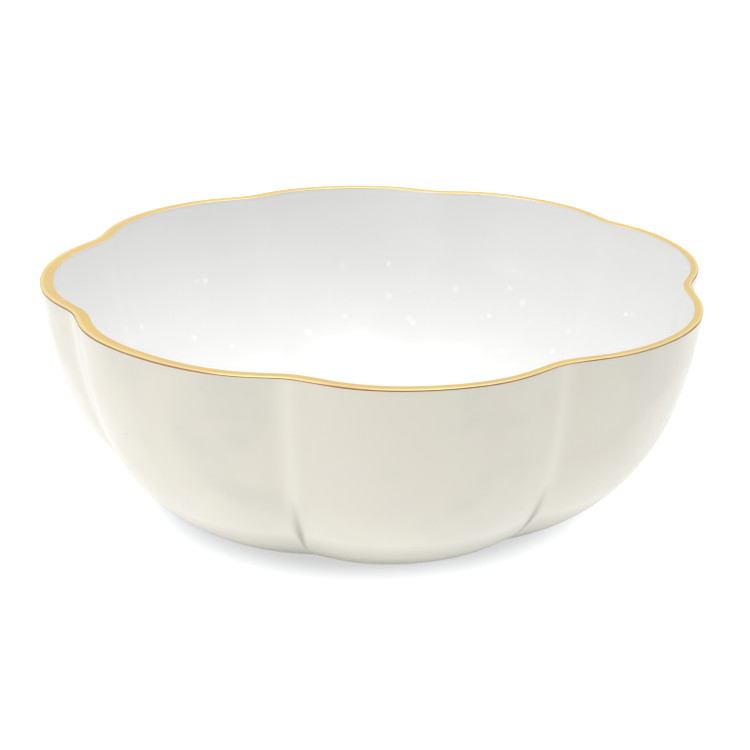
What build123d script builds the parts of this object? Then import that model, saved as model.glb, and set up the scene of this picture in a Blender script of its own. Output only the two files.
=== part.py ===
from build123d import *
import os
from math import cos, pi, radians, sin

# A round serving bowl pressed into eight lobes, with a shallow groove between each pair.
# Z = 0 is the surface that the foot stands on, the axis of the bowl is the Z axis,
# and one lobe's crest points along +X. Millimetres throughout.

# Driving dimensions
LOBES = 8
CREST_RADIUS = 135.0        # glazed outside of the lip, on the crest of a lobe
FOOT_RISE = 2.2             # glazed underside above the surface that the bowl stands on
WALL_HEIGHT = 97.0          # from the glazed underside to the top of the lip
BASE_RADIUS = 52.5          # flat part of the underside, on the crest of a lobe
BELLY_REACH = 55.3          # how strongly the section runs outwards where it leaves the base
WALL_REACH = 60.5           # how strongly the section runs straight down from the lip
WALL_LEAN = 1.8             # degrees that the wall leans outwards at the lip

LIP_WIDTH = 3.9             # wall thickness at the lip, with both glazes
LIP_FALL = 0.3              # the lip's inner edge lies this much lower than its outer edge
LIP_ROUNDING = 0.4          # radius of both edges of the lip
FLOOR_THICKNESS = 5.0       # floor thickness, with its glaze
GLAZE = 0.3                 # thickness of every glaze coat
GILDING = 0.15              # thickness of the gilded band

# Outline of one lobe, as shares of the crest radius, at the base and at the lip
GROOVE = (0.972, 0.9445)    # radius at the bottom of a groove
ARM = (0.060, 0.100)        # how far the groove runs on before it turns into the lobe
SHOULDER_OUT = (1.016, 1.011)
SHOULDER_SIDE = (0.207, 0.227)

# How the outline's poles move for each millimetre that the outline is inset, so that
# the wall keeps its thickness all the way round
ARM_GAIN = 0.25
SHOULDER_SLIDE = 0.24

FOOT_OUTER = 50.0
FOOT_INNER = 45.0
FOOT_ROUNDING = 1.0
FOOT_DRAFT = 0.4            # how much narrower each side of the foot is at its tread

# Derived dimensions
LIP_TOP = FOOT_RISE + WALL_HEIGHT
SHOULDER_Z = LIP_TOP - LIP_ROUNDING
BISQUE_BASE = FOOT_RISE + GLAZE
HALF_LOBE = pi / LOBES
ARC_POLE = 0.5523           # pole distance of a quarter circle of radius 1


def between(pair, rise):
    """Value at a share of the rise from the base to the lip."""
    low, high = pair
    return low + (high - low) * rise


def outline_row(crest, z, rise, inset):
    """Poles of one lobe's degree-six curve at height z, from groove to groove.

    The lobe points along +X. The crest and both grooves move in by the inset.
    """
    groove = crest * between(GROOVE, rise) - inset
    arm = crest * between(ARM, rise) + ARM_GAIN * inset
    out = crest * between(SHOULDER_OUT, rise) - inset
    side = crest * between(SHOULDER_SIDE, rise) - SHOULDER_SLIDE * inset
    start = (groove * cos(HALF_LOBE), -groove * sin(HALF_LOBE))
    lead = (start[0] + arm * sin(HALF_LOBE), start[1] + arm * cos(HALF_LOBE))
    # At its middle a degree-six curve is its poles' mean, weighed by 1, 6, 15, 20, 15, 6 and 1.
    others = 2 * (start[0] + 6 * lead[0] + 15 * out)
    crest_pole = (64 * (crest - inset) - others) / 20
    half = [start, lead, (out, -side)]
    mirrored = [(x, -y) for x, y in reversed(half)]
    return [(x, y, z) for x, y in half + [(crest_pole, 0.0)] + mirrored]


def lip_row(z, inset):
    """Row of poles on the lip, which slopes down towards the inside of the bowl."""
    return outline_row(CREST_RADIUS, z - LIP_FALL * inset / LIP_WIDTH, 1.0, inset)


def wall(lip_depth, floor_depth):
    """Grid of poles of the wall's face, at a depth in from the glazed outside."""
    lean = radians(WALL_LEAN)
    underside = FOOT_RISE + floor_depth
    knee_radius = CREST_RADIUS - WALL_REACH * sin(lean)
    knee_z = SHOULDER_Z - WALL_REACH * cos(lean) + ARC_POLE * floor_depth
    return [
        outline_row(BASE_RADIUS, underside, 0.0, 0.0),
        outline_row(BASE_RADIUS + BELLY_REACH, underside, 1 / 3, ARC_POLE * lip_depth),
        outline_row(knee_radius, knee_z, 2 / 3, lip_depth),
        lip_row(SHOULDER_Z, lip_depth),
    ]


def lip(depth):
    """Grids of the lip's outer rounding, top and inner rounding, at a depth in from the glaze."""
    radius = LIP_ROUNDING - depth
    pole = ARC_POLE * radius
    top = SHOULDER_Z + radius
    rounding = [
        (SHOULDER_Z, depth),
        (SHOULDER_Z + pole, depth),
        (top, LIP_ROUNDING - pole),
        (top, LIP_ROUNDING),
    ]
    outer = [lip_row(z, inset) for z, inset in rounding]
    inner = [lip_row(z, LIP_WIDTH - inset) for z, inset in reversed(rounding)]
    return [outer, [outer[-1], inner[0]], inner]


def faces_round(grid):
    """One Bezier face for each lobe from a grid of poles."""
    turn = 360 / LOBES
    face = Face.make_bezier_surface(grid)
    return [face.rotate(Axis.Z, turn * i) for i in range(LOBES)]


def edge_loop(row):
    """Closed wire along one row of poles, round the whole bowl."""
    turn = 360 / LOBES
    edge = Edge.make_bezier(*row)
    return Wire([edge.rotate(Axis.Z, turn * i) for i in range(LOBES)])


def closed_solid(grids, caps):
    """Solid bounded by the faces of the grids and by flat caps."""
    faces = [face for grid in grids for face in faces_round(grid)]
    return Solid(Shell(faces + caps))


def base_cap(row, hole=None):
    """Flat face inside one row of poles, less a round hole."""
    return Face(edge_loop(row), [hole] if hole else None)


def make_body():
    """The fired body: wall, floor and lip, all under the glazes."""
    outside = wall(GLAZE, GLAZE)
    inside = wall(LIP_WIDTH - GLAZE, FLOOR_THICKNESS - GLAZE)
    caps = [base_cap(outside[0]), base_cap(inside[0])]
    return closed_solid([outside, *lip(GLAZE), inside], caps)


def make_inner_glaze():
    """White coat over the floor, up the inside of the wall and over the lip."""
    face = wall(LIP_WIDTH, FLOOR_THICKNESS)
    back = wall(LIP_WIDTH - GLAZE, FLOOR_THICKNESS - GLAZE)
    over, under = lip(0.0), lip(GLAZE)
    end = [over[0][0], under[0][0]]
    caps = [base_cap(face[0]), base_cap(back[0])]
    return closed_solid([face, *over, end, *under, back], caps)


def make_outer_glaze():
    """Ivory coat on the outside of the wall, from the foot ring up to the lip."""
    face = wall(0.0, 0.0)
    back = wall(GLAZE, GLAZE)
    end = [face[-1], back[-1]]
    ring_low = Wire.make_circle(FOOT_OUTER, Plane.XY.offset(FOOT_RISE))
    ring_high = Wire.make_circle(FOOT_OUTER, Plane.XY.offset(BISQUE_BASE))
    collar = Face.make_surface_from_curves(ring_low, ring_high)
    caps = [base_cap(face[0], ring_low), base_cap(back[0], ring_high), collar]
    return closed_solid([face, end, back], caps)


def make_rim_band():
    """Gilding over the lip, down to the foot of both its roundings."""
    over, under = lip(-GILDING), lip(0.0)
    outer_end = [over[0][0], under[0][0]]
    inner_end = [over[-1][-1], under[-1][-1]]
    return closed_solid([*over, *under, outer_end, inner_end], [])


def make_foot_ring():
    """Round ring that the bowl stands on, slightly narrower at its tread."""
    section = make_face(Polyline(
        (FOOT_INNER, BISQUE_BASE),
        (FOOT_OUTER, BISQUE_BASE),
        (FOOT_OUTER, FOOT_RISE),
        (FOOT_OUTER - FOOT_DRAFT, 0.0),
        (FOOT_INNER + FOOT_DRAFT, 0.0),
        (FOOT_INNER, FOOT_RISE),
        close=True,
    ))
    section = fillet(section.vertices().sort_by(Axis.Y)[:2], FOOT_ROUNDING)
    return revolve(Plane.XZ * section, Axis.Z)


def make_base_glaze():
    """Coat on the underside of the body, inside the foot ring."""
    return Solid.make_cylinder(FOOT_INNER, GLAZE, Plane.XY.offset(FOOT_RISE))


PARTS = {
    "porcelain_body": make_body,
    "foot_ring": make_foot_ring,
    "outer_glaze": make_outer_glaze,
    "inner_glaze": make_inner_glaze,
    "base_glaze": make_base_glaze,
    "gold_rim_band": make_rim_band,
}

os.makedirs("parts", exist_ok=True)
for name, make in PARTS.items():
    export_step(make(), f"parts/{name}.step")
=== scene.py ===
"""Looks of a lobed porcelain serving bowl: its fired body, glaze coats, gilded lip and foot."""

import logging
import math
from dataclasses import dataclass
from enum import Enum
from typing import Sequence

import bpy
import numpy as np
from mathutils import Matrix, Vector


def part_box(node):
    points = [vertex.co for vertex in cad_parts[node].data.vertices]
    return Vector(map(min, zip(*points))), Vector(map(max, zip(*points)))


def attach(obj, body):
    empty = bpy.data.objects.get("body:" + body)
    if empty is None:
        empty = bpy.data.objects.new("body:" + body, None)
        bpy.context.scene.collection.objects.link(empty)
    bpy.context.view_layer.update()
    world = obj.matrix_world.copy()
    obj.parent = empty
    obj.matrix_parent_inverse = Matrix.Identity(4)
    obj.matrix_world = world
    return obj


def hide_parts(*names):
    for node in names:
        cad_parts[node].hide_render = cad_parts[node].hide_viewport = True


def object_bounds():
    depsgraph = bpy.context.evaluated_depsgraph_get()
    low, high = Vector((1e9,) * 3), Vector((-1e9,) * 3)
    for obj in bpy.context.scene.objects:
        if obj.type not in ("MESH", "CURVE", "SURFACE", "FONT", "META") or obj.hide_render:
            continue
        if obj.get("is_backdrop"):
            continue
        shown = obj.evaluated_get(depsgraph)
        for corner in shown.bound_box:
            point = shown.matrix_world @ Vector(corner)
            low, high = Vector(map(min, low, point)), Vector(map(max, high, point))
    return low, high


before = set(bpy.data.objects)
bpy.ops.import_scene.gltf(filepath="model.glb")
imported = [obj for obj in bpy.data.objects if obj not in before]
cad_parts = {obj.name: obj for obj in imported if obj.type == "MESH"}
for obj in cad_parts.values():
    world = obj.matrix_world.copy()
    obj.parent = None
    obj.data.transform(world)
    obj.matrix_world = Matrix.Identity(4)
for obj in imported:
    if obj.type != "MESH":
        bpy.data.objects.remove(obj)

LOG = logging.getLogger("serving_bowl")
MM = 0.001
SEXTIC = 6
CORNER_ANGLE = math.radians(40.0)
NOISE_LOW, NOISE_HIGH = 0.3, 0.7


class Slot(Enum):
    """Material slots of the record, one for each finish."""

    BISQUE = "bisque"
    FOOT = "foot"
    IVORY = "ivory_glaze"
    WHITE = "white_glaze"
    GILDING = "gilding"


# Shape of the bowl ---------------------------------------------------------------------------

def bernstein(degree: int, share: np.ndarray) -> np.ndarray:
    """Weights of a Bezier curve's poles.

    Pole k of a curve of degree n weighs (n over k) * t^k * (1 - t)^(n - k) at the share t of its run.

    Args:
        degree: degree n of the curve.
        share: shares t between 0 and 1.

    Returns:
        Array of weights, one row for each share and one column for each pole.
    """
    poles = np.arange(degree + 1)
    count = np.array([math.comb(degree, k) for k in poles])
    t = np.asarray(share)[:, None]
    return count * t**poles * (1.0 - t) ** (degree - poles)


def eased(count: int, power: float = 1.0) -> np.ndarray:
    """Shares from 0 to 1, crowded towards 1 for a power below 1.

    Args:
        count: how many shares.
        power: exponent p of t^p on evenly spaced t.

    Returns:
        Array of rising shares.
    """
    return np.linspace(0.0, 1.0, count) ** power


@dataclass(frozen=True)
class HandWork:
    """Small departures from the true form, shared by every skin so that none pokes through another.

    The inside sits a little off the outside's axis, which makes the lip wider on one side. Each
    crest, and the groove after it, stands in from the true outline by its own millimetres, full at
    the lip and nothing at the base. Each groove is also swung round the axis by its own degrees.
    """

    inner_shift: float = 1.0 * MM
    shift_angle: float = math.radians(-8.5)
    crest_inset: tuple[float, ...] = (0.0, 0.6, 1.0, 0.2, 0.1, 2.2, 0.9, -1.2)
    groove_inset: tuple[float, ...] = (-0.8, 0.5, 0.1, 0.4, -0.4, -0.3, 0.0, 0.4)
    groove_swing: tuple[float, ...] = (0.0, 0.0, 0.0, 0.0, 0.5, 1.5, -2.1, 0.0)

    def apply(self, points: np.ndarray, top_z: float) -> np.ndarray:
        """Moves points from the true form to the hand-made one.

        The inset and the swing between a crest and a groove follow half a cosine wave. A point
        moves towards the axis by the inset times the square of its share of the lip's height, and
        turns by the swing times the square root of that share.

        Args:
            points: array whose last axis holds x, y, z and the share of the way to the inside.
            top_z: height at which the insets are full.

        Returns:
            Array whose last axis holds x, y and z.
        """
        knots = np.stack([self.crest_inset, self.groove_inset], -1).ravel() * MM
        turn = np.arctan2(points[..., 1], points[..., 0]) / (2.0 * math.pi) % 1.0 * len(knots)
        before = np.floor(turn).astype(int) % len(knots)
        share = 0.5 - 0.5 * np.cos(math.pi * (turn % 1.0))
        inset = knots[before] * (1.0 - share) + knots[(before + 1) % len(knots)] * share
        rise = np.clip(points[..., 2] / top_z, 0.0, 1.0)
        radius = np.maximum(np.hypot(points[..., 0], points[..., 1]), MM)
        kept = 1.0 - inset * rise**2 / radius
        inner = np.clip(points[..., 3], 0.0, 1.0) * self.inner_shift
        swings = np.radians(np.stack([np.zeros(len(self.groove_swing)), self.groove_swing], -1).ravel())
        swing = swings[before] * (1.0 - share) + swings[(before + 1) % len(swings)] * share
        swing = swing * np.sqrt(rise)
        x, y = points[..., 0] * kept, points[..., 1] * kept
        x, y = x * np.cos(swing) - y * np.sin(swing), x * np.sin(swing) + y * np.cos(swing)
        x = x + inner * math.cos(self.shift_angle)
        y = y + inner * math.sin(self.shift_angle)
        return np.stack([x, y, points[..., 2]], -1)


@dataclass(frozen=True)
class BowlForm:
    """The lobed form that the body and every coat follow, in metres.

    The section through the crest of a lobe is a cubic curve from the flat base to the lip. The
    outline at any height is one curve of degree six for each lobe, from groove to groove. Shares
    are of the crest radius, at the base and at the lip.
    """

    crest_radius: float
    underside: float
    lip_top: float
    gilding: float
    hand_work: HandWork
    lobes: int = 8
    base_share: float = 0.389
    belly_share: float = 0.4096
    wall_share: float = 0.448
    wall_lean: float = math.radians(1.8)
    lip_width: float = 3.9 * MM
    lip_fall: float = 0.3 * MM
    lip_rounding: float = 0.4 * MM
    floor_thickness: float = 5.0 * MM
    glaze: float = 0.3 * MM
    groove: tuple[float, float] = (0.972, 0.9445)
    arm: tuple[float, float] = (0.060, 0.100)
    shoulder_out: tuple[float, float] = (1.016, 1.011)
    shoulder_side: tuple[float, float] = (0.207, 0.227)
    arm_gain: float = 0.25
    shoulder_slide: float = 0.24
    arc_pole: float = 0.5523
    columns_a_lobe: int = 48

    @property
    def shoulder_z(self) -> float:
        """Height at which the lip's roundings start."""
        return self.lip_top - self.lip_rounding

    @property
    def columns(self) -> int:
        """Number of points round the whole bowl."""
        return self.lobes * self.columns_a_lobe

    def outline_poles(
        self, crest: np.ndarray, z: np.ndarray, rise: np.ndarray, inset: np.ndarray
    ) -> np.ndarray:
        """Rows of seven poles of one lobe's outline, which points along +X.

        The first pole is at the bottom of a groove, the second lies square to the groove's radius,
        the third is the lobe's shoulder, and the fourth puts the curve's middle on the crest. The
        other three mirror the first three.

        Args:
            crest: radius on the crest for each row, before its inset.
            z: height of each row.
            rise: share of the way from the base's outline to the lip's, for each row.
            inset: distance that each row is moved in, square to the wall.

        Returns:
            Array of rows by seven poles by x, y, z and the share of the way across the lip.
        """
        crest, z, rise, inset = (np.asarray(a, float) for a in (crest, z, rise, inset))

        def share(pair: tuple[float, float]) -> np.ndarray:
            """Length at each row from its shares of the crest radius at the base and the lip."""
            return crest * (pair[0] + (pair[1] - pair[0]) * rise)

        half = math.pi / self.lobes
        groove = share(self.groove) - inset
        arm = share(self.arm) + self.arm_gain * inset
        start = np.stack([groove * math.cos(half), -groove * math.sin(half)], -1)
        lead = start + arm[:, None] * np.array([math.sin(half), math.cos(half)])
        out = share(self.shoulder_out) - inset
        side = share(self.shoulder_side) - self.shoulder_slide * inset
        shoulder = np.stack([out, -side], -1)
        weight = [math.comb(SEXTIC, k) for k in range(SEXTIC + 1)]
        sides = 2.0 * (weight[0] * start[:, 0] + weight[1] * lead[:, 0] + weight[2] * out)
        top_x = (sum(weight) * (crest - inset) - sides) / weight[3]
        top = np.stack([top_x, np.zeros_like(crest)], -1)
        flip = np.array([1.0, -1.0])
        flat = np.stack([start, lead, shoulder, top, shoulder * flip, lead * flip, start * flip], 1)
        height = np.broadcast_to(z[:, None, None], flat.shape[:2] + (1,))
        across = np.broadcast_to(inset.max() / self.lip_width, height.shape)
        return np.concatenate([flat, height, across], -1)

    def wall_poles(self, lip_depth: float, floor_depth: float) -> np.ndarray:
        """Poles of the wall's face at a depth in from the glazed outside.

        Args:
            lip_depth: depth at the lip, square to the wall.
            floor_depth: depth at the base, square to the floor.

        Returns:
            Array of four rows of seven poles, from the base to the lip.
        """
        radius = self.crest_radius
        base = self.base_share * radius
        reach = self.wall_share * radius
        knee_z = self.shoulder_z - reach * math.cos(self.wall_lean) + self.arc_pole * floor_depth
        level = self.underside + floor_depth
        lip_z = self.shoulder_z - self.lip_fall * lip_depth / self.lip_width
        belly = base + self.belly_share * radius
        wall = radius - reach * math.sin(self.wall_lean)
        return self.outline_poles(
            crest=[base, belly, wall, radius],
            z=[level, level, knee_z, lip_z],
            rise=[0.0, 1 / 3, 2 / 3, 1.0],
            inset=[0.0, self.arc_pole * lip_depth, lip_depth, lip_depth],
        )

    def lip_poles(self, depth: float) -> list[np.ndarray]:
        """Poles of the lip's outer rounding, its top and its inner rounding.

        Args:
            depth: depth in from the glazed face, negative outside it.

        Returns:
            Three arrays of rows of seven poles, from outside to inside.
        """
        radius = self.lip_rounding - depth
        pole = self.arc_pole * radius
        z = self.shoulder_z + np.array([0.0, pole, radius, radius])
        inset = np.array([depth, depth, self.lip_rounding - pole, self.lip_rounding])

        def rows(level: np.ndarray, into: np.ndarray) -> np.ndarray:
            """Rows of poles on the lip, which falls towards the inside of the bowl.

            Args:
                level: height of each row before the fall.
                into: distance of each row in from the outside.

            Returns:
                Array of rows of seven poles.
            """
            fallen = level - self.lip_fall * into / self.lip_width
            crest, rise = np.full_like(into, self.crest_radius), np.ones_like(into)
            poles = self.outline_poles(crest, fallen, rise, into)
            poles[..., 3] = into[:, None] / self.lip_width
            return poles

        outer = rows(z, inset)
        inner = rows(z[::-1], self.lip_width - inset[::-1])
        return [outer, np.stack([outer[-1], inner[0]]), inner]

    def around(self, poles: np.ndarray, shares: np.ndarray) -> np.ndarray:
        """Points of a Bezier face on every lobe in turn.

        Each point is the sum of the poles, weighed along the section by one Bernstein row and
        along the outline by another, and then turned about Z to its lobe.

        Args:
            poles: rows by seven poles by x, y, z and the share across the lip.
            shares: shares of the section at which to put rows of points.

        Returns:
            Array of rows by columns by three coordinates, the columns going once round the bowl.
        """
        along = bernstein(len(poles) - 1, shares)
        across = bernstein(SEXTIC, np.linspace(0.0, 1.0, self.columns_a_lobe, endpoint=False))
        lobe = np.einsum("si,uj,ijk->suk", along, across, poles)
        angle = np.arange(self.lobes) * 2.0 * math.pi / self.lobes
        turn = np.zeros((self.lobes, 4, 4))
        turn[:, 0, 0] = turn[:, 1, 1] = np.cos(angle)
        turn[:, 1, 0] = np.sin(angle)
        turn[:, 0, 1] = -np.sin(angle)
        turn[:, 2, 2] = turn[:, 3, 3] = 1.0
        points = np.einsum("lab,sub->slua", turn, lobe).reshape(len(shares), self.columns, 4)
        return self.hand_work.apply(points, self.lip_top)

    def disc(self, edge: np.ndarray, rows: int) -> np.ndarray:
        """Rows of points from the axis out to an edge: the edge scaled towards the axis.

        Args:
            edge: one closed row of points.
            rows: how many rows to add inside the edge, without the axis point itself.

        Returns:
            Array of rows by columns by three coordinates, rising outwards, without the edge.
        """
        scale = np.linspace(0.0, 1.0, rows + 2)[1:-1]
        spread = edge[None] * np.stack([scale, scale, np.ones_like(scale)], -1)[:, None, :]
        return spread


# Meshes --------------------------------------------------------------------------------------

def grid_mesh(name: str, points: np.ndarray, closed: bool) -> bpy.types.Mesh:
    """Mesh over a grid of points whose columns go once round the axis.

    Face (r, c) joins rows r and r + 1 and columns c and c + 1, the last column to the first. A
    closed grid also joins its last row to its first. An open one starts and ends on the axis, and
    each end is closed by triangles to a point there. The UV map runs once round the bowl in U and
    along the rows, by length, in V.

    Args:
        name: name of the mesh.
        points: rows by columns by three coordinates.
        closed: whether the rows form a loop.

    Returns:
        The new mesh, smooth except at its corners.
    """
    rows, columns = points.shape[:2]
    strips = rows if closed else rows - 1
    row = np.arange(strips)[:, None]
    column = np.arange(columns)[None, :]
    after_row, after_column = (row + 1) % rows, (column + 1) % columns
    quads = np.stack(
        [row * columns + column, row * columns + after_column,
         after_row * columns + after_column, after_row * columns + column], -1).reshape(-1, 4)
    length = np.linalg.norm(np.diff(points[:, 0], axis=0, append=points[:1, 0]), axis=1)
    v = np.concatenate([[0.0], np.cumsum(length)])[: strips + 1]
    v = v / v[-1]
    u = np.arange(columns + 1) / columns
    corner_v = np.stack([v[:-1], v[:-1], v[1:], v[1:]], -1)[:, None, :].repeat(columns, 1)
    corner_u = np.stack([u[:-1], u[1:], u[1:], u[:-1]], -1)[None].repeat(strips, 0)
    uv = [np.stack([corner_u, corner_v], -1).reshape(-1, 2)]
    vertices = points.reshape(-1, 3)
    loops = [quads.reshape(-1)]
    sizes = [np.full(len(quads), 4)]
    if not closed:
        ends = points[[0, -1]].mean(axis=1)
        vertices = np.concatenate([vertices, ends])
        last = (rows - 1) * columns
        around = column[0]
        beside = after_column[0]
        first_fan = np.stack([np.full(columns, rows * columns), beside, around], -1)
        last_fan = np.stack([np.full(columns, rows * columns + 1), last + around, last + beside], -1)
        for fan, level, order in ((first_fan, 0.0, (u[1:], u[:-1])), (last_fan, 1.0, (u[:-1], u[1:]))):
            middle = 0.5 * (u[:-1] + u[1:])
            fan_u = np.stack([middle, *order], -1).reshape(-1)
            uv.append(np.stack([fan_u, np.full_like(fan_u, level)], -1))
            loops.append(fan.reshape(-1))
            sizes.append(np.full(columns, 3))
    index, size = np.concatenate(loops), np.concatenate(sizes)
    mesh = bpy.data.meshes.new(name)
    mesh.vertices.add(len(vertices))
    mesh.vertices.foreach_set("co", vertices.astype(np.float32).ravel())
    mesh.loops.add(len(index))
    mesh.loops.foreach_set("vertex_index", index.astype(np.int32))
    mesh.polygons.add(len(size))
    mesh.polygons.foreach_set("loop_start", np.concatenate([[0], np.cumsum(size)[:-1]]).astype(np.int32))
    mesh.update(calc_edges=True)
    layer = mesh.uv_layers.new(name="UVMap")
    layer.uv.foreach_set("vector", np.concatenate(uv).astype(np.float32).ravel())
    mesh.polygons.foreach_set("use_smooth", np.ones(len(size), bool))
    mesh.set_sharp_from_angle(angle=CORNER_ANGLE)
    mesh.validate()
    return mesh


def place(
    mesh: bpy.types.Mesh, material: bpy.types.Material, nodes: Sequence[str]
) -> bpy.types.Object:
    """Adds a finished piece to the scene and ties it to the frame.

    Args:
        mesh: the piece's mesh, in the row frame.
        material: its finish.
        nodes: CAD nodes that the piece stands for.

    Returns:
        The piece.
    """
    piece = bpy.data.objects.new(mesh.name, mesh)
    bpy.context.scene.collection.objects.link(piece)
    mesh.materials.append(material)
    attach(piece, "root")
    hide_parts(*nodes)
    LOG.info("%s: %d faces, for %s", mesh.name, len(mesh.polygons), ", ".join(nodes))
    return piece


# Finishes ------------------------------------------------------------------------------------

class Nodes:
    """A small hand for building node trees."""

    MIX_FIRST, MIX_SECOND, MIX_RESULT = 6, 7, 2

    def __init__(self, tree: bpy.types.NodeTree) -> None:
        """Takes the tree to build in."""
        self.tree = tree

    def add(self, kind: str, **settings: object) -> bpy.types.Node:
        """Adds a node.

        Args:
            kind: the node's type name.
            settings: properties to set; a value for an input goes under its socket's index, as in0.

        Returns:
            The node.
        """
        node = self.tree.nodes.new(kind)
        for key, value in settings.items():
            if key.startswith("in") and key[2:].isdigit():
                self.feed(value, node.inputs[int(key[2:])])
            else:
                setattr(node, key, value)
        return node

    def feed(self, value: object, socket: bpy.types.NodeSocket) -> None:
        """Links an output to a socket, or sets the socket's own value.

        Args:
            value: an output socket, or a plain value.
            socket: the input socket.
        """
        if isinstance(value, bpy.types.NodeSocket):
            self.tree.links.new(value, socket)
        else:
            socket.default_value = value

    def math(
        self, operation: str, first: object, second: object = 0.0, third: object = 0.0
    ) -> bpy.types.NodeSocket:
        """Output of a Math node."""
        node = self.add("ShaderNodeMath", operation=operation, in0=first, in1=second, in2=third)
        return node.outputs[0]

    def spread(
        self, value: object, low: object, high: object, to_low: object, to_high: object
    ) -> bpy.types.NodeSocket:
        """Output of a clamped Map Range node."""
        node = self.add("ShaderNodeMapRange", in0=value, in1=low, in2=high, in3=to_low, in4=to_high)
        return node.outputs[0]

    def noise(self, place_at: object, scale: float, detail: float = 2.0) -> bpy.types.NodeSocket:
        """Adds a Noise texture.

        Args:
            place_at: output that says where on the piece.
            scale: size of the pattern, as cells a metre.
            detail: how many finer layers it has.

        Returns:
            The output of its value.
        """
        node = self.add("ShaderNodeTexNoise")
        self.feed(place_at, node.inputs["Vector"])
        self.feed(scale, node.inputs["Scale"])
        self.feed(detail, node.inputs["Detail"])
        return node.outputs[0]

    def blend(self, share: object, first: object, second: object) -> bpy.types.NodeSocket:
        """Adds a mix of two colours.

        Args:
            share: share of the second colour.
            first: the first colour, or an output of it.
            second: the second colour, or an output of it.

        Returns:
            The output of the mixed colour.
        """
        node = self.add("ShaderNodeMix", data_type="RGBA", in0=share)
        self.feed(first, node.inputs[self.MIX_FIRST])
        self.feed(second, node.inputs[self.MIX_SECOND])
        return node.outputs[self.MIX_RESULT]


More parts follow.
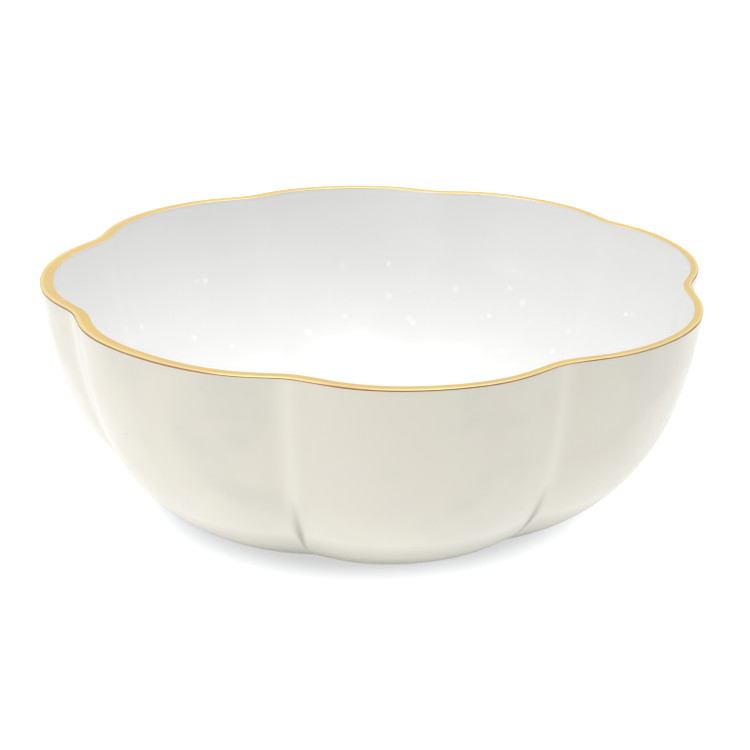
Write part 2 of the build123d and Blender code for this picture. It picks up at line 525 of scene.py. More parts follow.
class GroupKit:
    """Shader node groups that several finishes share, each built once."""

    SECOND_NOISE_AT = (0.31, 0.17, 0.23)
    SECOND_NOISE_SHARE = 0.63
    TONE_FROM, TONE_TO = 0.48, 0.68
    FIRST_DETAIL, SECOND_DETAIL, PEEL_DETAIL = 3.0, 2.0, 1.0
    SWELL_SHARE, SWELL_GAIN = 0.22, 2.0
    SMALLEST_SPOT = 0.4
    SPOT_SHOULDER = 0.6
    CREASE_POWER = 3.0
    LOW_WALL_PAINTED_LIGHT = 0.8
    UNDER_FADE = 0.5

    def __init__(self) -> None:
        """Builds the groups."""
        self.drift = self._drift()
        self.skin = self._skin()
        self.painted_shading_and_pooling = self._painted_shading_and_pooling()

    @staticmethod
    def _group(
        name: str, inputs: dict[str, tuple[str, float | None]], outputs: dict[str, str]
    ) -> tuple[bpy.types.NodeTree, Nodes, list[bpy.types.NodeSocket], bpy.types.Node]:
        """Makes an empty group with its sockets.

        Args:
            name: name of the group.
            inputs: socket type and default value for each input's name.
            outputs: socket type for each output's name.

        Returns:
            The group, a hand for its nodes, its input sockets and its output node.
        """
        tree = bpy.data.node_groups.new(name, "ShaderNodeTree")
        for label, (kind, default) in inputs.items():
            socket = tree.interface.new_socket(name=label, in_out="INPUT", socket_type=kind)
            if default is not None:
                socket.default_value = default
        for label, kind in outputs.items():
            tree.interface.new_socket(name=label, in_out="OUTPUT", socket_type=kind)
        hand = Nodes(tree)
        given = hand.add("NodeGroupInput")
        return tree, hand, [given.outputs[label] for label in inputs], hand.add("NodeGroupOutput")

    def _drift(self) -> bpy.types.NodeTree:
        """Slow drift of a fired colour: one noise blends it to a warm tone and another to a cool one.

        Returns:
            The group.
        """
        tree, hand, (at, base, warm, cool, scale, amount), result = self._group(
            "Fired colour drift",
            {"Position": ("NodeSocketVector", None), "Base": ("NodeSocketColor", None),
             "Warm": ("NodeSocketColor", None), "Cool": ("NodeSocketColor", None),
             "Scale": ("NodeSocketFloat", 60.0), "Amount": ("NodeSocketFloat", 0.5)},
            {"Color": "NodeSocketColor", "Mask": "NodeSocketFloat"})
        first = hand.noise(at, scale, self.FIRST_DETAIL)
        moved = hand.add("ShaderNodeVectorMath", operation="ADD", in0=at, in1=self.SECOND_NOISE_AT)
        slower = hand.math("MULTIPLY", scale, self.SECOND_NOISE_SHARE)
        second = hand.noise(moved.outputs[0], slower, self.SECOND_DETAIL)
        warm_share, cool_share = (
            hand.math("MULTIPLY", hand.spread(drift, self.TONE_FROM, self.TONE_TO, 0.0, 1.0), amount)
            for drift in (first, second))
        toned = hand.blend(cool_share, hand.blend(warm_share, base, warm), cool)
        hand.feed(toned, result.inputs["Color"])
        hand.feed(first, result.inputs["Mask"])
        return tree

    def _skin(self) -> bpy.types.NodeTree:
        """Relief of a fired glaze: orange peel, and rare round spots at the cells of a Voronoi texture.

        A spot is picked by its cell's random red, and its size comes from its cell's random green. No
        spot stands above the spot top.

        Returns:
            The group.
        """
        tree, hand, given, result = self._group(
            "Glaze skin",
            {"Position": ("NodeSocketVector", None), "Peel Scale": ("NodeSocketFloat", 240.0),
             "Peel Height": ("NodeSocketFloat", 0.3), "Spot Scale": ("NodeSocketFloat", 55.0),
             "Spot Share": ("NodeSocketFloat", 0.05), "Spot Radius": ("NodeSocketFloat", 0.05),
             "Spot Top": ("NodeSocketFloat", 1.0)},
            {"Height": "NodeSocketFloat", "Spots": "NodeSocketFloat"})
        at, peel_scale, peel_height, spot_scale, spot_share, spot_radius, spot_top = given
        peel = hand.math("MULTIPLY", hand.noise(at, peel_scale, self.PEEL_DETAIL), peel_height)
        swell = hand.noise(at, hand.math("MULTIPLY", peel_scale, self.SWELL_SHARE), self.PEEL_DETAIL)
        peel = hand.math("MULTIPLY_ADD", swell, self.SWELL_GAIN, peel)
        cells = hand.add("ShaderNodeTexVoronoi", feature="F1")
        hand.feed(at, cells.inputs["Vector"])
        hand.feed(spot_scale, cells.inputs["Scale"])
        random = hand.add("ShaderNodeSeparateColor", in0=cells.outputs["Color"])
        z = hand.add("ShaderNodeSeparateXYZ", in0=at).outputs[2]
        picked = hand.math("MULTIPLY", hand.math("LESS_THAN", random.outputs[0], spot_share),
                           hand.math("LESS_THAN", z, spot_top))
        sized = hand.spread(random.outputs[1], 0.0, 1.0, self.SMALLEST_SPOT, 1.0)
        size = hand.math("MULTIPLY", spot_radius, sized)
        near = hand.math("SUBTRACT", 1.0, hand.math("DIVIDE", cells.outputs["Distance"], size))
        spots = hand.math("MULTIPLY", hand.spread(near, 0.0, self.SPOT_SHOULDER, 0.0, 1.0), picked)
        hand.feed(hand.math("SUBTRACT", peel, spots), result.inputs["Height"])
        hand.feed(spots, result.inputs["Spots"])
        return tree

    def _painted_shading_and_pooling(self) -> bpy.types.NodeTree:
        """Masks for painted shade and light low in the bowl and on the grooves, partly where glaze gathers
        and breaks thinner.

        A cosine of U, raised to the sharpness, peaks on each groove: a painted highlight, partly glaze
        breaking thinner there. Its cube is the crease, which runs from the low height up to the high one:
        painted shade in the lower grooves, partly glaze gathered there. The foot rises from none at the low
        height to one at the full height: painted shade on the ivory and painted light in the white, partly
        glaze gathered there. The low wall takes a share of the painted light too, standing in for light
        from the floor. All three fade out below the under height, so the underside stays plain.

        Returns:
            The group.
        """
        tree, hand, given, result = self._group(
            "Glaze pooling",
            {"Position": ("NodeSocketVector", None), "UV": ("NodeSocketVector", None),
             "Grooves": ("NodeSocketFloat", 8.0), "Sharpness": ("NodeSocketFloat", 55.0),
             "Full": ("NodeSocketFloat", 0.012), "Low": ("NodeSocketFloat", 0.032),
             "High": ("NodeSocketFloat", 0.058), "Under": ("NodeSocketFloat", 0.001)},
            {"Crease": "NodeSocketFloat", "Foot": "NodeSocketFloat", "Break": "NodeSocketFloat"})
        at, uv, grooves, sharpness, full_z, low_z, high_z, under_z = given
        z = hand.add("ShaderNodeSeparateXYZ", in0=at).outputs[2]
        u = hand.add("ShaderNodeSeparateXYZ", in0=uv).outputs[0]
        turn = hand.math("MULTIPLY", hand.math("MULTIPLY", u, grooves), 2.0 * math.pi)
        wave = hand.math("COSINE", turn)
        line = hand.math("POWER", hand.math("MULTIPLY_ADD", wave, 0.5, 0.5), sharpness)
        low_wall = hand.spread(z, low_z, high_z, 1.0, 0.0)
        above = hand.spread(z, hand.math("MULTIPLY", under_z, self.UNDER_FADE), under_z, 0.0, 1.0)
        # Crease and foot: painted shade low on the ivory, and the foot painted light in the white, partly
        # glaze gathered there.
        crease = hand.math("MULTIPLY", hand.math("POWER", line, self.CREASE_POWER), low_wall)
        foot = hand.spread(z, low_z, full_z, 0.0, 1.0)
        # Grooves and low wall: painted highlight and painted light from the floor, partly glaze breaking
        # thinner.
        thin_and_painted_shading = hand.math("MAXIMUM", line, hand.math("MULTIPLY", low_wall, self.LOW_WALL_PAINTED_LIGHT))
        for mask, label in ((crease, "Crease"), (foot, "Foot"), (thin_and_painted_shading, "Break")):
            hand.feed(hand.math("MULTIPLY", mask, above), result.inputs[label])
        return tree


def fresh_material(name: str) -> tuple[bpy.types.Material, Nodes, bpy.types.Node]:
    """New material with only its Principled shader.

    Args:
        name: name of the material.

    Returns:
        The material, a hand for its nodes, and the shader.
    """
    material = bpy.data.materials.new(name)
    material.use_nodes = True
    return material, Nodes(material.node_tree), material.node_tree.nodes["Principled BSDF"]


Tone = tuple[float, float, float]


@dataclass(frozen=True)
class GlazeFinish:
    """A gloss glaze: soft drift of tone, orange peel, rare spots, and painted shade and light low down and
    in creases.

    The gathered tone darkens the ivory low on the wall and in the lower creases as painted shade, and
    lightens the white low in the bowl as painted light, partly glaze gathered there. The lighter tone on
    the grooves and the low wall is a painted highlight and painted floor light, partly glaze breaking
    thinner. The white's spot tone is a painted glint, partly over real raised spots. Matting takes the
    coat's gloss off under the gathered tone.
    """

    name: str
    base: Tone
    warm: Tone
    cool: Tone
    pool_and_shading: Tone
    spot: Tone
    spots_rise: bool
    drift_scale: float = 55.0
    drift_amount: float = 0.5
    groove_amount: float = 0.4
    foot_amount: float = 0.5
    thin_and_painted_shading: Tone = (0.68, 0.655, 0.565)
    thin_and_painted_shading_amount: float = 0.0
    spot_top: float = 1.0
    full_z: float = 12.0 * MM
    low_z: float = 32.0 * MM
    high_z: float = 52.0 * MM
    under_z: float = 1.0 * MM
    pool_roughness: float = 0.8
    peel_height: float = 0.3
    gloss_range: tuple[float, float] = (0.85, 1.2)
    matting: float = 1.0
    roughness: float = 0.4
    coat: float = 0.2
    coat_roughness: float = 0.12
    index: float = 1.5
    peel_scale: float = 240.0
    spot_share: float = 0.05
    spot_scale: float = 60.0
    spot_radius: float = 0.06
    relief: float = 0.3 * MM
    relief_strength: float = 0.5

    def material(self, groups: GroupKit) -> bpy.types.Material:
        """Builds the material.

        Args:
            groups: the shared node groups.

        Returns:
            The material.
        """
        material, hand, shader = fresh_material(self.name)
        where = hand.add("ShaderNodeTexCoord")
        at, uv = where.outputs["Object"], where.outputs["UV"]
        tone = hand.add("ShaderNodeGroup", node_tree=groups.drift, in0=at, in1=(*self.base, 1.0),
                        in2=(*self.warm, 1.0), in3=(*self.cool, 1.0), in4=self.drift_scale,
                        in5=self.drift_amount)
        skin = hand.add("ShaderNodeGroup", node_tree=groups.skin, in0=at, in1=self.peel_scale,
                        in2=self.peel_height, in3=self.spot_scale, in4=self.spot_share,
                        in5=self.spot_radius, in6=self.spot_top)
        pooling_and_shading = hand.add("ShaderNodeGroup", node_tree=groups.painted_shading_and_pooling, in0=at, in1=uv, in4=self.full_z,
                          in5=self.low_z, in6=self.high_z, in7=self.under_z)
        # Gathered: painted shade on the ivory, low on the wall and in the lower creases, and painted light
        # low in the white, partly glaze gathered there.
        gathered_and_shaded = hand.math("MAXIMUM", hand.math("MULTIPLY", pooling_and_shading.outputs["Crease"], self.groove_amount),
                             hand.math("MULTIPLY", pooling_and_shading.outputs["Foot"], self.foot_amount))
        # Grooves and low wall: painted highlight and painted floor light, partly glaze breaking thinner.
        thin_and_painted_light_share = hand.math("MULTIPLY", pooling_and_shading.outputs["Break"], self.thin_and_painted_shading_amount)
        color = hand.blend(thin_and_painted_light_share, tone.outputs["Color"], (*self.thin_and_painted_shading, 1.0))
        color = hand.blend(gathered_and_shaded, color, (*self.pool_and_shading, 1.0))
        # Spot tone: dark pinholes on the ivory, painted glints on the white, partly over real raised spots.
        color = hand.blend(skin.outputs["Spots"], color, (*self.spot, 1.0))
        smooth, dull = (self.roughness * share for share in self.gloss_range)
        rough = hand.spread(tone.outputs["Mask"], NOISE_LOW, NOISE_HIGH, smooth, dull)
        rough = hand.math("MAXIMUM", rough, hand.math("MULTIPLY", gathered_and_shaded, self.pool_roughness))
        bump = hand.add("ShaderNodeBump", invert=self.spots_rise)
        bump.inputs["Distance"].default_value = self.relief
        bump.inputs["Strength"].default_value = self.relief_strength
        hand.feed(skin.outputs["Height"], bump.inputs["Height"])
        hand.feed(color, shader.inputs["Base Color"])
        hand.feed(rough, shader.inputs["Roughness"])
        hand.feed(bump.outputs["Normal"], shader.inputs["Normal"])
        shader.inputs["IOR"].default_value = self.index
        shader.inputs["Coat Weight"].default_value = self.coat
        if self.matting:
            glossy = hand.math("SUBTRACT", 1.0, hand.math("MULTIPLY", gathered_and_shaded, self.matting))
            hand.feed(hand.math("MULTIPLY", glossy, self.coat), shader.inputs["Coat Weight"])
        shader.inputs["Coat Roughness"].default_value = self.coat_roughness
        return material


@dataclass(frozen=True)
class GildingFinish:
    """Burnished gold over the lip, reddish-brown along its lower outer edge, partly gold laid thinner and
    partly a painted dark reflection, under a painted highlight.

    The starts and ends are shares of the way round the band's section, from its outer edge.
    """

    name: str = "burnished_gilding"
    gold: Tone = (0.78, 0.55, 0.17)
    peach: Tone = (0.84, 0.56, 0.25)
    lemon: Tone = (0.76, 0.61, 0.18)
    bright: Tone = (0.86, 0.69, 0.31)
    edge: Tone = (0.36, 0.18, 0.09)
    inner: Tone = (0.90, 0.86, 0.74)
    roughness: float = 0.33
    edge_end: float = 0.055
    bright_start: float = 0.075
    bright_end: float = 0.16
    gold_start: float = 0.22
    inner_start: float = 0.44
    inner_end: float = 0.47
    drift_scale: float = 70.0
    drift_amount: float = 0.8
    waver_scale: float = 22.0
    waver: tuple[float, float] = (-0.02, 0.05)
    gloss_range: tuple[float, float] = (0.9, 1.2)
    grain_scale: float = 500.0
    relief: float = 0.2 * MM
    relief_strength: float = 0.4

    def material(self, groups: GroupKit) -> bpy.types.Material:
        """Builds the material.

        V runs across the lip, from the outer edge at 0 to the inner edge at about a half.

        Args:
            groups: the shared node groups.

        Returns:
            The material.
        """
        material, hand, shader = fresh_material(self.name)
        where = hand.add("ShaderNodeTexCoord")
        at = where.outputs["Object"]
        tone = hand.add("ShaderNodeGroup", node_tree=groups.drift, in0=at, in1=(*self.gold, 1.0),
                        in2=(*self.peach, 1.0), in3=(*self.lemon, 1.0), in4=self.drift_scale,
                        in5=self.drift_amount)
        v = hand.add("ShaderNodeSeparateXYZ", in0=where.outputs["UV"]).outputs[1]
        waver = hand.spread(hand.noise(at, self.waver_scale), NOISE_LOW, NOISE_HIGH, *self.waver)
        across = hand.math("ADD", v, waver)
        # Painted highlight on the outer rounding and the outer part of the top.
        shine = hand.spread(across, self.bright_end, self.gold_start, 1.0, 0.0)
        color = hand.blend(shine, tone.outputs["Color"], (*self.bright, 1.0))
        # Reddish-brown line at the lower outer edge: painted dark reflection, partly gold laid thinner.
        thin_and_painted_shading = hand.spread(across, self.edge_end, self.bright_start, 1.0, 0.0)
        color = hand.blend(thin_and_painted_shading, color, (*self.edge, 1.0))
        inside = hand.spread(v, self.inner_start, self.inner_end, 0.0, 1.0)
        color = hand.blend(inside, color, (*self.inner, 1.0))
        smooth, dull = (self.roughness * share for share in self.gloss_range)
        rough = hand.spread(tone.outputs["Mask"], NOISE_LOW, NOISE_HIGH, smooth, dull)
        bump = hand.add("ShaderNodeBump")
        bump.inputs["Distance"].default_value = self.relief
        bump.inputs["Strength"].default_value = self.relief_strength
        hand.feed(hand.noise(at, self.grain_scale), bump.inputs["Height"])
        hand.feed(color, shader.inputs["Base Color"])
        hand.feed(rough, shader.inputs["Roughness"])
        hand.feed(bump.outputs["Normal"], shader.inputs["Normal"])
        shader.inputs["Metallic"].default_value = 1.0
        return material


@dataclass(frozen=True)
class BisqueFinish:
    """Unglazed fired porcelain, matte and very slightly grainy."""

    name: str
    base: Tone = (0.76, 0.73, 0.66)
    warm: Tone = (0.72, 0.66, 0.57)
    cool: Tone = (0.72, 0.71, 0.68)
    roughness: float = 0.75
    drift_scale: float = 140.0
    drift_amount: float = 0.6
    grain_scale: float = 1600.0
    grain_detail: float = 4.0
    relief: float = 0.2 * MM
    relief_strength: float = 0.6

    def material(self, groups: GroupKit) -> bpy.types.Material:
        """Builds the material.

        Args:
            groups: the shared node groups.

        Returns:
            The material.
        """
        material, hand, shader = fresh_material(self.name)
        at = hand.add("ShaderNodeTexCoord").outputs["Object"]
        tone = hand.add("ShaderNodeGroup", node_tree=groups.drift, in0=at, in1=(*self.base, 1.0),
                        in2=(*self.warm, 1.0), in3=(*self.cool, 1.0), in4=self.drift_scale,
                        in5=self.drift_amount)
        bump = hand.add("ShaderNodeBump")
        bump.inputs["Distance"].default_value = self.relief
        bump.inputs["Strength"].default_value = self.relief_strength
        hand.feed(hand.noise(at, self.grain_scale, self.grain_detail), bump.inputs["Height"])
        hand.feed(tone.outputs["Color"], shader.inputs["Base Color"])
        hand.feed(bump.outputs["Normal"], shader.inputs["Normal"])
        shader.inputs["Roughness"].default_value = self.roughness
        return material


# Sub-assemblies ------------------------------------------------------------------------------

@dataclass(frozen=True)
class FiredBody:
    """The porcelain body under all the coats."""

    form: BowlForm
    wall_rows: int = 60
    lip_rows: int = 6
    disc_rows: int = 6

    def points(self) -> np.ndarray:
        """Rows from the underside's middle, up the outside, over the lip and down to the floor's middle.

        Returns:
            Array of rows by columns by three coordinates.
        """
        form = self.form
        outside = form.around(form.wall_poles(form.glaze, form.glaze), eased(self.wall_rows))
        over = [form.around(p, eased(self.lip_rows))[1:] for p in form.lip_poles(form.glaze)]
        inner_depth = form.lip_width - form.glaze
        inner_poles = form.wall_poles(inner_depth, form.floor_thickness - form.glaze)
        inside = form.around(inner_poles, eased(self.wall_rows))
        base = form.disc(outside[0], self.disc_rows)
        floor = form.disc(inside[0], self.disc_rows)
        return np.concatenate([base, outside, *over, inside[-2::-1], floor[::-1]])

    def build(self, material: bpy.types.Material) -> bpy.types.Object:
        """Makes the piece."""
        mesh = grid_mesh("fired_body", self.points(), closed=False)
        return place(mesh, material, ["porcelain_body"])


@dataclass(frozen=True)
class OuterCoat:
    """The ivory glaze on the outside of the wall, from the foot ring to the lip."""

    form: BowlForm
    foot_radius: float
    wall_rows: int = 120
    back_rows: int = 40

    def points(self) -> np.ndarray:
        """Rows up the glazed face, across the ledge under the gilding, down the back and round the foot.

        Returns:
            Array of rows by columns by three coordinates.
        """
        form = self.form
        face = form.around(form.wall_poles(0.0, 0.0), eased(self.wall_rows))
        back = form.around(form.wall_poles(form.glaze, form.glaze), eased(self.back_rows))
        angle = np.arctan2(face[0, :, 1], face[0, :, 0])
        ring = np.stack([np.cos(angle), np.sin(angle)], -1) * self.foot_radius
        high = np.concatenate([ring, back[0, :, 2:]], -1)
        low = np.concatenate([ring, face[0, :, 2:]], -1)
        return np.concatenate([face, back[::-1], high[None], low[None]])

    def build(self, material: bpy.types.Material) -> bpy.types.Object:
        """Makes the piece."""
        mesh = grid_mesh("ivory_outer_glaze", self.points(), closed=True)
        return place(mesh, material, ["outer_glaze"])


@dataclass(frozen=True)
class InnerCoat:
    """The white glaze over the lip, down the inside of the wall and over the floor."""

    form: BowlForm
    wall_rows: int = 110
    back_rows: int = 40
    lip_rows: int = 6
    disc_rows: int = 8

    def points(self) -> np.ndarray:
        """Rows from the back's middle, up behind the wall, over the lip and down the glazed face.

        Returns:
            Array of rows by columns by three coordinates.
        """
        form = self.form
        thick = form.floor_thickness
        back_poles = form.wall_poles(form.lip_width - form.glaze, thick - form.glaze)
        back = form.around(back_poles, eased(self.back_rows))
        face = form.around(form.wall_poles(form.lip_width, thick), eased(self.wall_rows))
        under = [form.around(p, eased(self.lip_rows)) for p in form.lip_poles(form.glaze)]
        over = [form.around(p, eased(self.lip_rows)) for p in form.lip_poles(0.0)]
        behind = np.concatenate([under[2][::-1][1:], under[1][::-1][1:], under[0][::-1][1:]])
        above = np.concatenate([over[0], over[1][1:], over[2][1:]])
        back_disc = form.disc(back[0], self.disc_rows)
        face_disc = form.disc(face[0], self.disc_rows)
        return np.concatenate([back_disc, back, behind, above, face[-2::-1], face_disc[::-1]])

    def build(self, material: bpy.types.Material) -> bpy.types.Object:
        """Makes the piece."""
        mesh = grid_mesh("white_inner_glaze", self.points(), closed=False)
        return place(mesh, material, ["inner_glaze"])


@dataclass(frozen=True)
class RimGilding:
    """The gold over the lip, down to the foot of both its roundings."""

    form: BowlForm
    round_rows: int = 9
    top_rows: int = 7

    def points(self) -> np.ndarray:
        """Rows over the gilded face from outside to inside, and back along the glaze under it.

        Returns:
            Array of rows by columns by three coordinates.
        """
        form = self.form
        skins = []
        for depth in (-form.gilding, 0.0):
            outer, top, inner = form.lip_poles(depth)
            skins.append(np.concatenate([
                form.around(outer, eased(self.round_rows)),
                form.around(top, eased(self.top_rows))[1:],
                form.around(inner, eased(self.round_rows))[1:],
            ]))
        return np.concatenate([skins[0], skins[1][::-1]])

    def build(self, material: bpy.types.Material) -> bpy.types.Object:
        """Makes the piece."""
        mesh = grid_mesh("gilded_rim", self.points(), closed=True)
        return place(mesh, material, ["gold_rim_band"])


@dataclass(frozen=True)
class Foot:
    """The foot ring, and the glaze on the underside within it."""

    inner_radius: float
    outer_radius: float
    underside: float
    top: float
    draft: float = 0.4 * MM
    rounding: float = 1.0 * MM
    columns: int = 192
    arc_rows: int = 7
    disc_rows: int = 9

    def _turned(self, radius: np.ndarray, z: np.ndarray) -> np.ndarray:
        """Profile of radius and height turned about the axis: x = r cos a, y = r sin a.

        Args:
            radius: radius of each point of the profile.
            z: height of each point of the profile.

        Returns:
            Array of rows by columns by three coordinates.
        """
        angle = np.arange(self.columns) * 2.0 * math.pi / self.columns
        flat = radius[:, None, None] * np.stack([np.cos(angle), np.sin(angle)], -1)[None]
        height = np.broadcast_to(z[:, None, None], flat.shape[:2] + (1,))
        return np.concatenate([flat, height], -1)

    def build_ring(self, material: bpy.types.Material) -> bpy.types.Object:
        """Makes the ring: a tapered section whose tread has rounded edges.

        Args:
            material: its finish.

        Returns:
            The piece.
        """
        turn = np.linspace(0.0, math.pi / 2.0, self.arc_rows)
        inner_x = self.inner_radius + self.draft + self.rounding
        outer_x = self.outer_radius - self.draft - self.rounding
        inner_r = inner_x - self.rounding * np.cos(turn)
        inner_z = self.rounding * (1.0 - np.sin(turn))
        outer_r = outer_x + self.rounding * np.sin(turn)
        outer_z = self.rounding * (1.0 - np.cos(turn))
        radius = np.concatenate([[self.inner_radius, self.inner_radius], inner_r, outer_r,
                                 [self.outer_radius, self.outer_radius]])
        z = np.concatenate([[self.top, self.underside], inner_z, outer_z, [self.underside, self.top]])
        mesh = grid_mesh("turned_foot_ring", self._turned(radius, z), closed=True)
        return place(mesh, material, ["foot_ring"])

    def build_base_glaze(self, material: bpy.types.Material) -> bpy.types.Object:
        """Makes the disc of glaze within the ring.

        Args:
            material: its finish.

        Returns:
            The piece.
        """
        shares = np.linspace(0.0, 1.0, self.disc_rows + 1)[1:]
        radius = np.concatenate([shares, shares[::-1]]) * self.inner_radius
        z = np.repeat([self.underside, self.top], self.disc_rows)
        mesh = grid_mesh("ivory_base_glaze", self._turned(radius, z), closed=False)
        return place(mesh, material, ["base_glaze"])


# Studio --------------------------------------------------------------------------------------

@dataclass(frozen=True)
class Studio:
    """The white sweep, the soft lights and the camera, sized from the bowl."""

    radius: float
    rim_z: float
    camera_azimuth: float = math.radians(-98.5)
    camera_pitch: float = math.radians(23.2)
    camera_roll: float = math.radians(0.35)
    camera_back: float = 3.2
    camera_over: float = 0.985
    lens: float = 51.8
    sensor_width: float = 36.0
    near_clip: float = 0.01
    room: float = 0.52
    room_top: float = 1.3
    room_back: float = 0.55
    room_side: float = -0.18
    room_front: float = -0.60
    dark_turn: float = math.radians(28.0)
    side_power: float = 2.2
    top_power: float = 3.4
    side_at: tuple[float, float, float] = (-1.03, -0.52, 0.16)
    side_size: tuple[float, float] = (0.9, 0.3)
    top_at: tuple[float, float, float] = (0.05, 0.05, 1.2)
    top_size: tuple[float, float] = (0.9, 0.9)
    aim_share: float = 0.5
    floor_tone: Tone = (0.58, 0.58, 0.60)
    floor_roughness: float = 0.9
    floor_reach: float = 40.0
    floor_drop: float = 0.05 * MM
    glow_under: float = 0.40
    glow_around: float = 0.84
    glow_tone: Tone = (0.95, 0.975, 1.0)
    glow_reach: tuple[float, float] = (0.548, 0.689)
    glow_squash: float = 0.87

    def build_camera(self) -> None:
        """Places the camera, in bowl radii from the middle of the rim."""
        across = Vector((math.cos(self.camera_azimuth), math.sin(self.camera_azimuth), 0.0))
        spot = across * self.camera_back * self.radius
        spot.z = self.rim_z + self.camera_over * self.radius
        back = across * math.cos(self.camera_pitch) + Vector((0.0, 0.0, math.sin(self.camera_pitch)))
        right = Vector((0.0, 0.0, 1.0)).cross(across)
        up = back.cross(right)
        turn = Matrix((right, up, back)).transposed() @ Matrix.Rotation(self.camera_roll, 3, "Z")
        data = bpy.data.cameras.new("studio_camera")
        data.lens = self.lens
        data.sensor_width = self.sensor_width
        data.clip_start = self.near_clip
        camera = bpy.data.objects.new("studio_camera", data)
        camera.matrix_world = Matrix.Translation(spot) @ turn.to_4x4()
        bpy.context.scene.collection.objects.link(camera)
        bpy.context.scene.camera = camera

    def build_floor(self) -> None:
        """Lays the white sweep that the bowl stands on, which glows less under the bowl: a painted shadow.
        """
        reach = self.floor_reach * self.radius
        mesh = bpy.data.meshes.new("white_sweep")
        around = ((-reach, -reach), (reach, -reach), (reach, reach), (-reach, reach))
        corners = [(x, y, -self.floor_drop) for x, y in around]
        mesh.from_pydata(corners, [], [(0, 1, 2, 3)])
        floor = bpy.data.objects.new("white_sweep", mesh)
        bpy.context.scene.collection.objects.link(floor)
        material, hand, shader = fresh_material("white_sweep")
        shader.inputs["Base Color"].default_value = (*self.floor_tone, 1.0)
        shader.inputs["Roughness"].default_value = self.floor_roughness
        shader.inputs["Specular IOR Level"].default_value = 0.0
        shader.inputs["Emission Color"].default_value = (*self.glow_tone, 1.0)
        at = hand.add("ShaderNodeTexCoord").outputs["Object"]
        level = hand.add("ShaderNodeMapping", vector_type="POINT", in0=at)
        level.inputs["Rotation"].default_value = (0.0, 0.0, -0.5 * math.pi - self.camera_azimuth)
        level.inputs["Scale"].default_value = (self.glow_squash, 1.0, 1.0)
        away = hand.add("ShaderNodeVectorMath", operation="LENGTH", in0=level.outputs[0]).outputs["Value"]
        near, far = (share * self.radius for share in self.glow_reach)
        # Glow that falls off towards the bowl: a painted shadow on the floor.
        glow = hand.add("ShaderNodeMapRange", interpolation_type="SMOOTHSTEP", in0=away, in1=near,
                        in2=far, in3=self.glow_under, in4=self.glow_around)
        hand.feed(glow.outputs[0], shader.inputs["Emission Strength"])
        mesh.materials.append(material)
        floor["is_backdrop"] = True

    def _softbox(
        self, name: str, place_at: tuple[float, float, float], size: tuple[float, float], power: float
    ) -> None:
        """Adds a soft area light that faces the bowl.

        Args:
            name: name of the light.
            place_at: its place.
            size: its width and height.
            power: its power in watts.
        """
        at = Vector(place_at)
        data = bpy.data.lights.new(name, "AREA")
        data.shape = "RECTANGLE"
        data.size, data.size_y = size
        data.energy = power
        light = bpy.data.objects.new(name, data)
        aim = Vector((0.0, 0.0, self.aim_share * self.rim_z)) - at
        light.matrix_world = Matrix.Translation(at) @ aim.to_track_quat("-Z", "Y").to_matrix().to_4x4()
        bpy.context.scene.collection.objects.link(light)

    def build_lights(self) -> None:
        """Sets the pale surroundings and the soft boxes.

        The room's brightness is a sum of shares by direction: more above, more behind the bowl, less
        on the left, and less, by a squared share, in front. It looks white where the camera sees it.
        """
        world = bpy.data.worlds.new("pale_room")
        world.use_nodes = True
        hand = Nodes(world.node_tree)
        background = world.node_tree.nodes["Background"]
        background.inputs["Color"].default_value = (1.0, 1.0, 1.0, 1.0)
        way = hand.add("ShaderNodeTexCoord").outputs["Generated"]
        up = hand.add("ShaderNodeSeparateXYZ", in0=way).outputs[2]
        left = (math.sin(self.camera_azimuth), -math.cos(self.camera_azimuth), 0.0)
        dark = self.camera_azimuth + self.dark_turn
        across = (math.cos(dark), math.sin(dark), 0.0)
        side, front = (
            hand.add("ShaderNodeVectorMath", operation="DOT_PRODUCT", in0=way, in1=axis).outputs["Value"]
            for axis in (left, across))
        gain = hand.math("MULTIPLY_ADD", hand.math("MAXIMUM", up), self.room_top, 1.0)
        gain = hand.math("MULTIPLY_ADD", side, self.room_side, gain)
        behind = hand.math("MAXIMUM", hand.math("MULTIPLY", front, -1.0))
        gain = hand.math("MULTIPLY_ADD", behind, self.room_back, gain)
        before = hand.math("POWER", hand.math("MAXIMUM", front), 2.0)
        gain = hand.math("MULTIPLY_ADD", before, self.room_front, gain)
        lit = hand.math("MULTIPLY", gain, self.room)
        seen = hand.add("ShaderNodeLightPath").outputs["Is Camera Ray"]
        hand.feed(hand.math("MAXIMUM", lit, seen), background.inputs["Strength"])
        bpy.context.scene.world = world
        bpy.context.scene.view_settings.view_transform = "Standard"
        self._softbox("top_softbox", self.top_at, self.top_size, self.top_power)
        self._softbox("side_softbox", self.side_at, self.side_size, self.side_power)


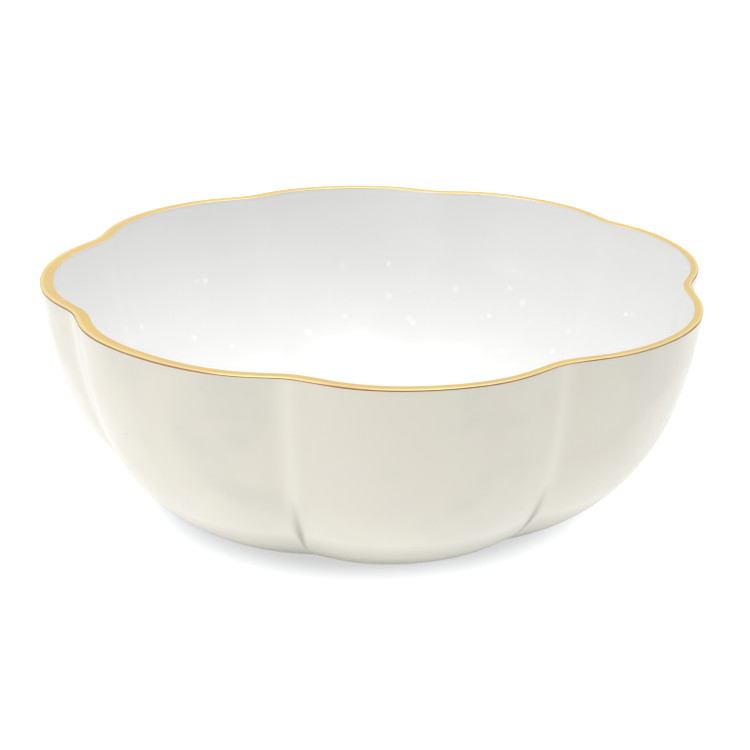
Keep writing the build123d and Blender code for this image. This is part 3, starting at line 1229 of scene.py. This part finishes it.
def main() -> None:
    """Builds the bowl from the inside out, and then the studio."""
    cad_low, cad_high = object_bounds()
    glaze_low, glaze_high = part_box("outer_glaze")
    _, lip_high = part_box("inner_glaze")
    _, foot_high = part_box("foot_ring")
    base_low, base_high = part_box("base_glaze")
    gilding = cad_high.x - glaze_high.x
    form = BowlForm(glaze_high.x, glaze_low.z, lip_high.z, gilding, HandWork())
    groups = GroupKit()
    # Ivory glaze: darker low on the wall and in the lower creases as painted shade, partly glaze gathered
    # there; lighter on the grooves and low wall as painted highlight and floor light, partly glaze breaking
    # thinner; dark pinholes.
    ivory = GlazeFinish(
        "ivory_glaze", base=(0.588, 0.560, 0.473), warm=(0.598, 0.550, 0.482), cool=(0.530, 0.515, 0.445),
        pool_and_shading=(0.27, 0.257, 0.205), spot=(0.40, 0.38, 0.32), spots_rise=False, drift_amount=0.7,
        foot_amount=0.9, groove_amount=0.75, thin_and_painted_shading_amount=0.5, full_z=17.0 * MM, low_z=34.0 * MM,
        under_z=10.0 * MM, spot_share=0.12, spot_scale=90.0)
    # White glaze: lighter low in the bowl as painted light, and white spots on the lower wall and floor as
    # painted glints, partly real raised spots.
    white = GlazeFinish(
        "white_glaze", base=(0.805, 0.803, 0.795), warm=(0.815, 0.803, 0.778), cool=(0.79, 0.795, 0.795),
        pool_and_shading=(0.915, 0.915, 0.91), spot=(1.0, 1.0, 0.99), spots_rise=True, groove_amount=0.0,
        foot_amount=1.0, full_z=48.0 * MM, low_z=94.0 * MM, pool_roughness=0.0, matting=0.0, coat=0.4,
        coat_roughness=0.08, spot_top=62.0 * MM, spot_share=0.8, spot_scale=95.0, spot_radius=0.25)
    bisque = BisqueFinish("fired_bisque").material(groups)
    tread = BisqueFinish("foot_bisque", base=(0.70, 0.66, 0.58)).material(groups)
    ivory_material = ivory.material(groups)
    FiredBody(form).build(bisque)
    OuterCoat(form, foot_radius=foot_high.x).build(ivory_material)
    InnerCoat(form).build(white.material(groups))
    RimGilding(form).build(GildingFinish().material(groups))
    foot = Foot(base_high.x, foot_high.x, base_low.z, foot_high.z)
    foot.build_ring(tread)
    foot.build_base_glaze(ivory_material)
    studio = Studio(radius=form.crest_radius, rim_z=form.lip_top)
    studio.build_floor()
    studio.build_lights()
    studio.build_camera()


if __name__ == "__main__":
    logging.basicConfig(level=logging.INFO, format="%(name)s: %(message)s")
    main()
